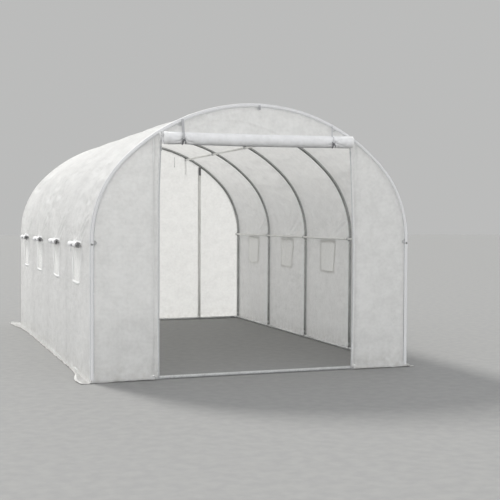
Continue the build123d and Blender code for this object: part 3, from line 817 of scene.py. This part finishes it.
def rails_and_clips():
    """Five long rails in necked sections, and a saddle with its screws at every hoop."""
    saddles = {word: (Heap(), Heap()) for word in ("left", "ridge", "right")}
    for node in ("ridge_pole", "left_purlin", "right_purlin", "left_side_rail", "right_side_rail"):
        low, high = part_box(node)
        centre = (low + high) / 2
        stops = [low.y + 0.010]
        for hoop in HOOPS[1:-1]:
            joint = hoop + RAIL_JOINT
            stops += [joint - 0.0004, joint, joint + 0.0035, joint + 0.0045]
        stops.append(high.y - 0.010)
        along = stations(stops, [0.25] * (len(stops) - 1))
        radius = np.full(len(along), RAIL_R)
        for hoop in HOOPS[1:-1]:
            past = along - hoop - RAIL_JOINT
            radius = np.where((past >= -1e-6) & (past < 0.0037), RAIL_NECK_R, radius)
        sweep(Heap(), stack(centre.x, along, centre.z), radius, 14).piece(
            f"{node}_tube", RAIL_PAINT, "rail_steel", node)
        out = Vector((centre.x, 0, centre.z - CROWN_Z)).normalized()
        if "side" in node:
            out = (math.copysign(1, centre.x), 0, 0)
        for y in HOOPS:
            saddle(*saddles[node.split("_")[0]], (centre.x, y, centre.z), out)
    for word, (shells, screws) in saddles.items():
        shells.piece(f"{word}_clips_saddles", CLIP_STEEL, "clip_steel", f"{word}_clips")
        screws.piece(f"{word}_clips_screws", CLIP_STEEL, "clip_steel")


def base_frame():
    """Ground tubes, welded connectors at the feet and the door posts."""
    for side, word in SIDES:
        feet, screws, rail = Heap(), Heap(), Heap()
        for y in HOOPS:
            arms = [(0, 0, 1)]
            arms += [(0, -1, 0)] * (y != HOOPS[0]) + [(0, 1, 0)] * (y != HOOPS[-1])
            arms += [(-side, 0, 0)] * (y in (HOOPS[0], HOOPS[-1]))
            centre = np.array([side * LEG_X, y, HOOP_R])
            for arm in arms:
                way = np.array(arm, float)
                up = np.array((1.0, 0, 0) if arm[2] else (0, 0, 1.0))
                path = [centre + way * reach for reach in (-0.004, 0.02, FITTING_ARM - 0.001)]
                sweep(feet, path, HOOP_R, start_up=up)
                turn = np.linspace(0, TURN, 25)[:, None]
                lump = HOOP_R * (1.04 + 0.03 * np.sin(9 * turn))
                bead = centre + way * 0.0135 + lump * (np.cos(turn) * up + np.sin(turn) * np.cross(way, up))
                sweep(feet, bead, 0.0018, 6, way, capped=False)
                if not arm[2]:
                    bolt(screws, centre + way * (FITTING_ARM - 0.012) + np.array([0, 0, HOOP_R * 0.97]), (0, 0, 1))
        feet.piece(f"{word}_feet", BASE_STEEL, "base_steel", f"{word}_base_fittings")
        screws.piece(f"{word}_feet_screws", CLIP_STEEL, "clip_steel")
        for front, rear in zip(HOOPS, HOOPS[1:]):
            stops = [front + FITTING_ARM, front + FITTING_ARM + 0.3, rear - FITTING_ARM - 0.3, rear - FITTING_ARM]
            sweep(rail, [(side * LEG_X, y, HOOP_R) for y in stops], HOOP_R)
        rail.piece(f"{word}_ground_tube", BASE_STEEL, "base_steel", f"{word}_ground_rail")
    for word, y in (("front", HOOPS[0]), ("rear", HOOPS[-1])):
        end = LEG_X - FITTING_ARM
        sweep(Heap(), [(x, y, HOOP_R) for x in (-end, -end / 3, 0, end / 3, end)], HOOP_R).piece(
            f"{word}_ground_tube", BASE_STEEL, "base_steel", f"{word}_ground_rail")
        posts = Heap()
        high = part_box(f"{word}_door_posts")[1]
        for side, _ in SIDES:
            x = side * (high.x - POST_R)
            sweep(posts, [(x, y, z) for z in (2 * HOOP_R, 0.5, 1.2, high.z - 0.004)], POST_R, start_up=(0, 1, 0))
            lathe(posts, (x, y, 2 * HOOP_R), (0, 0, 1), [(0.016, 0.0), (0.016, 0.004), (POST_R, 0.012)])
        posts.piece(f"{word}_post_tubes", RAIL_PAINT, "rail_steel", f"{word}_door_posts")


def gable_top(x):
    """Height of the hoop's axis over a place across the tunnel, where a gable sheet ends under the sleeve."""
    x = np.abs(np.asarray(x, float))
    shoulder = LEG + np.sqrt(np.maximum((SHOULDER_R - HOOP_DEPTH)**2 - np.maximum(x - SHOULDER_X, 0)**2, 0))
    crown = CROWN_Z + np.sqrt(np.maximum((CROWN_R - HOOP_DEPTH)**2 - x**2, 0))
    return np.where(x < CROWN_R * math.cos(SHOULDER_BEND), crown, shoulder)


def gable_face(x, z, end, seed):
    """How far a gable sheet stands from the tunnel's middle, with its slack and folds, at places on it."""
    inside = np.minimum(np.abs(np.abs(x) - DOOR_HALF) / 0.10, 1)
    rim = smooth(np.minimum(np.minimum(z / 0.10, (gable_top(x) - z) / 0.08), inside))
    slack = 0.007 * rim * smooth((np.abs(x) - DOOR_HALF) / 0.2 + (np.abs(x) < DOOR_HALF))
    fold = 0.0018 * noise(x / 0.11, z / 0.55, seed) + 0.0014 * noise(x / 0.05 + z / 0.3, z / 0.35, seed + 1)
    foot = smooth(1 - z / 0.35) * 0.003 * noise(x / 0.05, z / 0.10, seed + 2)
    lines = 0.0009 * bell((z - 0.62) / 0.006) + 0.0008 * bell((z - 1.24) / 0.006)
    lines = lines + 0.0008 * bell((np.abs(x) - 1.02) / 0.005)
    if end < 0:
        fold = fold - 0.0035 * rim * crease(x, z, (-0.66, 1.755), (0.06, 2.01), 0.010)
        bow = 1.872 - 0.55 * (x + 0.25)**2
        fold = fold - 0.0030 * rim * bell((z - bow) / 0.009) * smooth((0.52 - np.abs(x)) / 0.2)
    return end * (GABLE_FACE - slack - rim * (fold + foot) + rim * lines)


def door_line(end, side, z):
    """How far out a doorway's edge hangs at a height: the open one's film is slack and pulls away from the middle."""
    heights, pulls = [0], [0]
    if end < 0 and side < 0:
        heights, pulls = [0, 1.30, 1.45, 1.72], [0.004, 0.004, 0, -0.011]
    elif end < 0:
        heights, pulls = [0, 0.15, 0.50, 0.95, 1.30, 1.55, 1.70], [0.013, 0.016, 0.023, 0.023, 0.010, 0, -0.010]
    return DOOR_HALF + np.interp(z, heights, pulls)


def gable_panel(name, node, end, side, seed):
    """One flat part of a gable, from its bottom up to the hoop: beside the doorway, or over it where side is 0."""
    if side:
        spots = SHOULDER_X + (SHOULDER_R - HOOP_DEPTH) * np.cos(np.linspace(0, math.pi / 2, 60))
        across = np.sort(side * np.append(spots[spots > DOOR_HALF + 0.004], DOOR_HALF))
        bottom, rows = FOOT, 90
    else:
        across = np.linspace(-DOOR_HALF, DOOR_HALF, round(2 * DOOR_HALF / 0.0095) + 1)
        bottom, rows = DOOR_HEAD, 44
    rise = gable_top(across) - bottom
    z = bottom + rise * np.linspace(0, 1, rows)[:, None]
    x = np.broadcast_to(across, z.shape)
    if side:
        pull = np.clip((0.24 - np.abs(np.abs(x) - DOOR_HALF)) / 0.24, 0, 1)**1.5
        x = x + side * pull * (door_line(end, side, z) - DOOR_HALF)
    piece = Heap().grid(stack(x, gable_face(x, z, end, seed), z), x, z).piece(
        name, FRONT_FILM if end < 0 else GABLE_FILM, "gable_film", node)


def rear_door():
    """The rear door, zipped shut: a rectangle of film."""
    x, z = np.meshgrid(np.linspace(-DOOR_HALF, DOOR_HALF, 90), np.linspace(FOOT, DOOR_HEAD, 96))
    rim = smooth(np.minimum(np.minimum(z / 0.12, (DOOR_HEAD - z) / 0.10), (DOOR_HALF - np.abs(x)) / 0.12))
    fold = 0.0020 * noise(x / 0.13, z / 0.60, 91) + 0.0012 * noise(x / 0.05, z / 0.30, 92)
    piece = Heap().grid(stack(x, GABLE_FACE - rim * (0.009 + fold), z), x, z).piece(
        "rear_door_flap", GABLE_FILM, "gable_film", "rear_door")


def sleeve(name, y, end):
    """The film drawn round an end hoop, with the tape sewn over it where the gable sheet begins."""
    along = stations([FOOT, LEG, SHOULDER_END, ARCH - SHOULDER_END, ARCH - LEG, ARCH - FOOT],
                     [0.03, 0.02, 0.024, 0.02, 0.03])
    x, z, out_x, out_z = (v[:, None] for v in arch_points(along, HOOP_DEPTH))

    def spots(reach, turn):
        """Places at a reach from the hoop's axis, turned from straight out towards the tunnel's end."""
        away = reach * np.cos(turn)
        return stack(x + out_x * away, y + end * reach * np.sin(turn), z + out_z * away)

    # The front tape band is a sewn tape, painted light grey for the hoop's shade under the film; the rear one is light
    # film.
    for word, first, last, steps, radius, material, slot in (
            ("", -4, 166, 18, SLEEVE_R, SLEEVE_FILM, "cover_film"),
            ("_tape", 58, 148, 12, SLEEVE_R + 0.0010, SHADED_EDGE_TAPE if end < 0 else HEM_FILM, "tie_webbing")):
        turn = np.radians(np.linspace(first, last, steps))
        s, a = grid_of(along, turn)
        reach = radius + 0.0004 * noise(s / 0.07, a / 0.9, 31) * np.sin(np.clip(a, 0, math.pi))
        piece = Heap().grid(spots(reach, a), s, a * radius).piece(name + word, material, slot)
    # The bead and the front seam are grey cords: stitched edges, painted darker as the shade lines beside the hoop;
    # the rear seam is light film.
    for word, degrees, material in (("bead", 52, PALE_TAPE), ("seam", 157, SEAM_AND_SHADE_TAPE if end < 0 else HEM_FILM)):
        line = spots(SLEEVE_R + 0.0006, math.radians(degrees))[:, 0]
        sweep(Heap(), line, 0.0013, 6, (0, 1, 0)).piece(f"{name}_{word}", material, "tie_webbing")


def door_edges(word, end, closed):
    """Zips and hems up both edges of a doorway, with a slider on each zip."""
    face, out, low = end * (HALF_LENGTH - 0.0012), (0, end, 0), 0.012
    hem_material, tape_material = (REAR_TAPE, REAR_TAPE) if closed else (HEM_FILM, ZIP_TAPE)
    top = float(gable_top(DOOR_HALF + 0.01)) - 0.014
    corner, half_tape = 0.0 if closed else 0.04, 0.0048
    for side, side_word in SIDES:
        name = f"{word}_{side_word}"
        half_hem = 0.0042 if side < 0 else 0.0065
        straight = np.linspace(top, low + corner, 80)
        line = door_line(end, side, straight) + 0.0012 * noise(straight / 0.09, side * 3.0, 51)
        path = stack(side * (line + half_hem), face, straight)
        ribbon(Heap(), path, (1, 0, 0), half_hem, 0.0018, out).piece(f"{name}_door_hem", hem_material, "skirt_film")
        if not closed:
            start = abs(path[-1][0])
            bend = np.linspace(0, math.pi / 2, 9)[1:]
            run = np.linspace(start + corner, HALF_WIDTH - 0.02, 14)[1:]
            path = [path[-1], *stack(side * (start + corner * (1 - np.cos(bend))), face,
                                     low + corner * (1 - np.sin(bend))), *stack(side * run, face, low)]
            across = [(1, 0, 0), *stack(np.cos(bend), 0, -side * np.sin(bend))] + [(0, 0, -side)] * len(run)
            ribbon(Heap(), path, across, half_hem, 0.0018, out).piece(f"{name}_foot_hem", HEM_FILM, "skirt_film")
        run = np.linspace(low, top, 80)
        edge = side * (door_line(end, side, run) - half_tape + 0.001)
        ribbon(Heap(), stack(edge, face, run), (1, 0, 0), half_tape, 0.0012, out).piece(
            f"{name}_zip_tape", tape_material, "tie_webbing")
        teeth = Heap()
        heights = np.arange(0.02, top - 0.01, 0.0034)
        for offset, start in ((-0.0013, 0.0), (0.0013, 0.0017)) if closed else ((side * -0.002, 0.0),):
            place = side * (door_line(end, side, heights) - half_tape + 0.001) + offset
            blocks(teeth, stack(place, face + end * 0.0013, heights + start), (0.0016, 0.0009, 0.0008))
        z = 0.05 if closed else top - 0.085
        x = float(side * (door_line(end, side, z) - half_tape))
        for place, half in (((x, face + end * 0.0032, z), (0.0055, 0.0024, 0.0075)),
                            ((x, face + end * 0.0058, z + 0.001), (0.0022, 0.0010, 0.0050)),
                            ((x + 0.001, face + end * 0.0066, z - 0.016), (0.0038, 0.0007, 0.0130))):
            blocks(teeth, [place], half)
        teeth.piece(f"{name}_zip", ZIP_STEEL, "clip_steel")


def gables():
    """Both ends of the cover, with the doorway open in front and zipped shut at the rear."""
    for word, end, y, seed in (("front", -1, HOOPS[0], 200), ("rear", 1, HOOPS[-1], 230)):
        for side, part, more in ((-1, "left", 0), (1, "right", 5), (0, "top", 10)):
            gable_panel(f"{word}_{part}_sheet", f"{word}_{part}_panel", end, side, seed + more)
        sleeve(f"{word}_sleeve", y, end)
        door_edges(word, end, closed=end > 0)
    rear_door()


def hanging_ties():
    """Loose straps inside and outside the closed rear door, its posts' wraps, and the tabs and fold at the front."""
    low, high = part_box("rear_door_ties")
    share = np.linspace(0, 1, 20)
    for side, word in SIDES:
        path = stack(side * (high.x - 0.009) + 0.006 * np.sin(2.2 * share) * side,
                     high.y - 0.0008 + 0.003 * np.sin(3 * share), high.z - (high.z - low.z) * share)
        piece = ribbon(Heap(), path, (1, 0, 0), 0.009, 0.0014, (0, 1, 0)).piece(
            f"rear_door_{word}_tie", REAR_TAPE, "tie_webbing", "rear_door_ties")
    inner, wraps, tabs = Heap(), Heap(), Heap()
    inside = HALF_LENGTH - 0.016
    post_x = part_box("rear_door_posts")[1].x - POST_R
    share = np.linspace(0, 1, 12)
    for side, _ in SIDES:
        path = stack(side * 0.462 + 0.003 * np.sin(3 * share + 0.462), inside, 1.850 - 0.108 * share)
        ribbon(inner, path, (1, 0, 0), 0.0026, 0.0014, (0, 1, 0))
        lathe(inner, (side * 0.463, inside, 1.738), (0, 0, 1), [(0.0035, 0), (0.006, 0.004), (0.0035, 0.012)], 8)
        lathe(wraps, (side * post_x, HOOPS[-1], 1.650), (0, 0, 1),
              [(POST_R, 0), (POST_R + 0.0012, 0.001), (POST_R + 0.0012, 0.091), (POST_R, 0.092)])
    inner.piece("rear_door_inner_ties", TAPE, "tie_webbing")
    wraps.piece("rear_door_post_wraps", DARK_AND_SHADE_TAPE, "tie_webbing")
    y = -HALF_LENGTH - 0.0012 - 0.002 * np.sin(3 * share)
    top = stack(0.004 + 0.002 * share, y, HEIGHT - 0.012 - 0.034 * share)
    ribbon(tabs, top, (1, 0, 0), 0.008, 0.0022, (0, -1, 0))
    ribbon(tabs, stack(0.765, y, 1.750 - 0.030 * share), (1, 0, 0), 0.005, 0.0018, (0, -1, 0))
    tabs.piece("front_tabs", TAPE, "tie_webbing")
    y = -HALF_LENGTH - 0.0026 - 0.0015 * np.sin(3 * share)
    corner = stack(-0.752 + 0.014 * share, y, 1.765 - 0.055 * share)
    ribbon(Heap(), corner, (1, 0, 0), 0.006, 0.0018, (0, -1, 0)).piece("front_corner_fold", BRIGHT_HEM, "skirt_film")


def frame_bolts():
    """Round caps at the side rails' ends, on the front and rear hoops."""
    caps = Heap()
    low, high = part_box("right_side_rail")
    for end in (-1, 1):
        for side, _ in SIDES:
            place = (side * LEG_X, end * (HALF_LENGTH - 0.001), (low.z + high.z) / 2 - 0.012)
            lathe(caps, place, (0, end, 0), [(0.0085, 0), (0.0085, 0.0015), (0.0062, 0.004), (0.0025, 0.0052)], 20)
    caps.piece("hoop_bolt_caps", HOOP_STEEL, "hoop_steel")


def lying_strip(name, node, start, end, outward, wide, seed, flare=((0, 1, 0),)):
    """A strip of film that turns out from the cover's foot and lies on the ground in small waves.

    flare holds places along it, each with a share of its width and how far it stands away there.
    """
    start, end, outward = (np.array(v, float) for v in (start, end, outward))
    length = np.linalg.norm(end - start)
    way = (end - start) / length
    r, t = grid_of(np.linspace(0, length, round(length / 0.013) + 1), np.linspace(0, 1, 14))
    climb = 0.020 * np.exp(-(t / 0.10)**1.3)
    ruffle = 0.0055 * smooth(t / 0.5) * (1 + noise(r / 0.09, t / 0.9, seed))
    ruffle = ruffle * (0.6 + 0.4 * noise(r / 0.5, 0.5, seed + 1))
    edge = 0.0040 * t * (1 + noise(r / 0.045, t / 0.8, seed + 2))
    places, widths, offsets = zip(*flare)
    spread = np.interp(r, places, widths)
    reach = np.interp(r, places, offsets) + wide * t * spread * (1 + 0.05 * noise(r / 0.22, 0.3, seed + 3) - 0.03)
    points = start + r[..., None] * way + reach[..., None] * outward
    points[..., 2] = 0.0012 + climb + np.maximum(ruffle + edge - 0.001, 0)
    piece = Heap().grid(points, r, t * wide).piece(name, COVER_FILM, "skirt_film", node)
    keep = t[0] > 0.74
    band = points[:, keep] + np.array([0, 0, 0.0012])
    Heap().grid(band, r[:, keep], t[:, keep] * wide).piece(f"{name}_hem", HEM_FILM, "skirt_film")


def skirts():
    """The strips on the ground: one along each side, one behind and one each side of the open doorway."""
    wide = SKIRT_X - HALF_WIDTH
    flared = ((0, 1.7, 0), (0.10, 2.1, 0), (0.22, 2.0, 0), (0.45, 0.8, 0), (0.80, 0.6, 0), (3.30, 0.7, 0),
              (3.75, 1.4, 0), (3.95, 2.1, 0), (4.06, 2.1, 0.008), (4.12, 1.5, 0.040), (4.20, 0.5, 0.085))
    for side, word, tail, flare in ((-1, "left", 0.12, flared), (1, "right", 0.0, ((0, 1, 0),))):
        x = side * HALF_WIDTH
        lying_strip(f"{word}_ground_strip", f"{word}_skirt", (x, -SKIRT_Y, 0), (x, SKIRT_Y + tail, 0), (side, 0, 0),
                    wide, 300 + 10 * side, flare)
    lying_strip("rear_ground_strip", "gable_skirts", (-HALF_WIDTH, HALF_LENGTH, 0), (HALF_WIDTH, HALF_LENGTH, 0),
                (0, 1, 0), wide, 340)
    for side, word in SIDES:
        lying_strip(f"front_{word}_ground_strip", "gable_skirts", (side * HALF_WIDTH, -HALF_LENGTH, 0),
                    (side * (DOOR_HALF + 0.03), -HALF_LENGTH, 0), (0, -1, 0), wide * 0.75, 360 + 5 * side)


def camera():
    """The photograph's view, worked out from points of the frame, with no shift."""
    place = Vector((-2.5133, -8.7405, 1.1458))
    yaw, pitch, roll = 0.3483, -0.0311, 0.004
    forward = Vector((math.sin(yaw) * math.cos(pitch), math.cos(yaw) * math.cos(pitch), math.sin(pitch)))
    right = Vector((math.cos(yaw), -math.sin(yaw), 0))
    up = right.cross(forward)
    across = right * math.cos(roll) + up * math.sin(roll)
    upright = up * math.cos(roll) - right * math.sin(roll)
    data = bpy.data.cameras.new("camera")
    data.sensor_width = 36.0
    data.lens = 70.16
    item = stand("camera", data)
    item.matrix_world = Matrix.Translation(place) @ Matrix((across, upright, -forward)).transposed().to_4x4()
    bpy.context.scene.camera = item


def studio():
    """A pale floor, a soft sun from above the rear and the left side, and a sky that is brighter at the horizon."""
    shade = Shade(bpy.data.materials.new("floor"))
    grain = shade.level(shade.noise(shade.place(), 14, 5), 0.35, 0.65, 0.0, 1.0)
    paint = shade.blend(grain, (0.272, 0.272, 0.27), (0.296, 0.296, 0.29))
    mesh = bpy.data.meshes.new("floor")
    size = 60.0
    mesh.from_pydata([(-size, -size, 0), (size, -size, 0), (size, size, 0), (-size, size, 0)], [], [(0, 1, 2, 3)])
    mesh.materials.append(shade.done(shade.principled(paint, 0.85, specular=0.2)))
    floor = stand("floor", mesh)
    sun = bpy.data.lights.new("sun", "SUN")
    sun.energy = 2.6
    sun.angle = math.radians(14)
    sun.color = (1.0, 0.985, 0.95)
    stand("sun", sun).rotation_euler = Vector((0.24, -0.66, -0.70)).to_track_quat("-Z", "Y").to_euler()
    sky = Shade(bpy.data.worlds.new("sky"), "World")
    height = sky.add("SeparateXYZ", {0: sky.add("TexCoord", output="Generated")}, 2)
    strength = sky.level(height, 0, 1, 1.55, 0.80)
    light = sky.add("Background", {"Color": (0.975, 0.985, 1.0, 1.0), "Strength": strength})
    seen = sky.add("Background", {"Color": (0.500, 0.502, 0.498, 1.0), "Strength": 1.0})
    rays = [sky.add("LightPath", output=f"Is {kind} Ray") for kind in ("Camera", "Glossy", "Transmission")]
    shown = sky.math("MAXIMUM", sky.math("MAXIMUM", *rays[:2]), rays[2])
    bpy.context.scene.world = sky.done(sky.mix(shown, light, seen))
    bpy.context.scene.view_settings.view_transform = "Standard"


for build in (camera, studio, hoops, rails_and_clips, base_frame, cover, window_hems, window_nets, window_flaps,
              gables, front_door, hanging_ties, frame_bolts, skirts):
    build()
